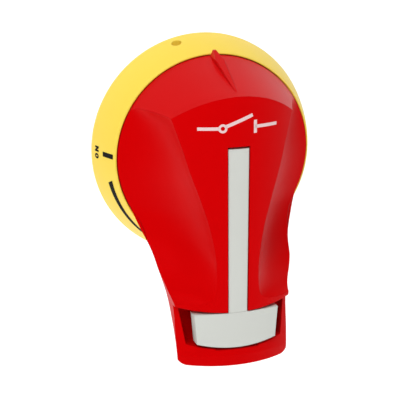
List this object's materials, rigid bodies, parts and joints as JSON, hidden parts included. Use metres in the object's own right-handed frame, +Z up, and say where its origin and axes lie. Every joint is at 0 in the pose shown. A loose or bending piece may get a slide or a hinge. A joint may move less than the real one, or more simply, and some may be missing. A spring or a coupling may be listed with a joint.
{
  "type": "isolator door handle",
  "caption": "Door-mounted quarter-turn rotary handle with a round bezel, a hollowed lever and a swing-out T-shaped padlock tab.",
  "frame": {"origin": "centre of the mounting face that lies on the door, on the axis of the switch shaft", "axes": "+Y runs back through the door along the shaft, +X is to the right and +Z is up seen from the front"},
  "size_m": [0.078, 0.047, 0.106],
  "materials": {
    "red_plastic": "semi-gloss moulded red",
    "yellow_plastic": "semi-gloss moulded yellow",
    "grey_plastic": "satin light grey",
    "black_plastic": "satin black",
    "seal_rubber": "soft black rubber",
    "zinc_steel": "bright zinc plate",
    "spring_steel": "bare spring wire",
    "brass": "turned brass"
  },
  "bodies": {
    "base": {"bezel": "yellow_plastic", "rim_seal": "seal_rubber", "door_gasket": "seal_rubber", "fixing_inserts": "brass", "hub_bush": "black_plastic", "catch_screw": "zinc_steel", "catch_spring": "spring_steel"},
    "handle": {"grip_cover": "red_plastic", "grip_back": "red_plastic", "shaft_hub": "black_plastic", "shaft_screw": "spring_steel", "hub_seal": "seal_rubber", "hub_washer": "zinc_steel", "hub_circlip": "spring_steel", "hub_screws": "zinc_steel", "tail_screws": "zinc_steel", "tab_pin": "zinc_steel", "plunger_spring": "spring_steel"},
    "tab": {"padlock_tab": "grey_plastic"},
    "plunger": {"lock_plunger": "zinc_steel"},
    "catch": {"release_catch": "black_plastic"}
  },
  "joints": [
    {"name": "handle_turn", "type": "hinge", "parent": "base", "child": "handle", "pos_m": [0, 0, 0], "axis": [0, 1, 0], "range_deg": [0, 90]},
    {"name": "tab_swing", "type": "hinge", "parent": "handle", "child": "tab", "pos_m": [0, -0.0386, 0.004], "axis": [-1, 0, 0], "range_deg": [0, 12], "stiffness_Nm_per_rad": 0.05, "springref_deg": -11.46},
    {"name": "plunger_slide", "type": "slide", "parent": "handle", "child": "plunger", "axis": [0, 1, 0], "range_m": [0, 0.0039], "deforming": ["plunger_spring"]},
    {"name": "catch_release", "type": "hinge", "parent": "base", "child": "catch", "pos_m": [0.005, -0.0051, 0.026], "axis": [0, -1, 0], "range_deg": [0, 8], "stiffness_Nm_per_rad": 0.02, "springref_deg": -11.46, "deforming": ["catch_spring"]}
  ],
  "couplings": [
    {"joint": "plunger_slide", "follows": "tab_swing", "m_per_rad": 0.0184}
  ]
}
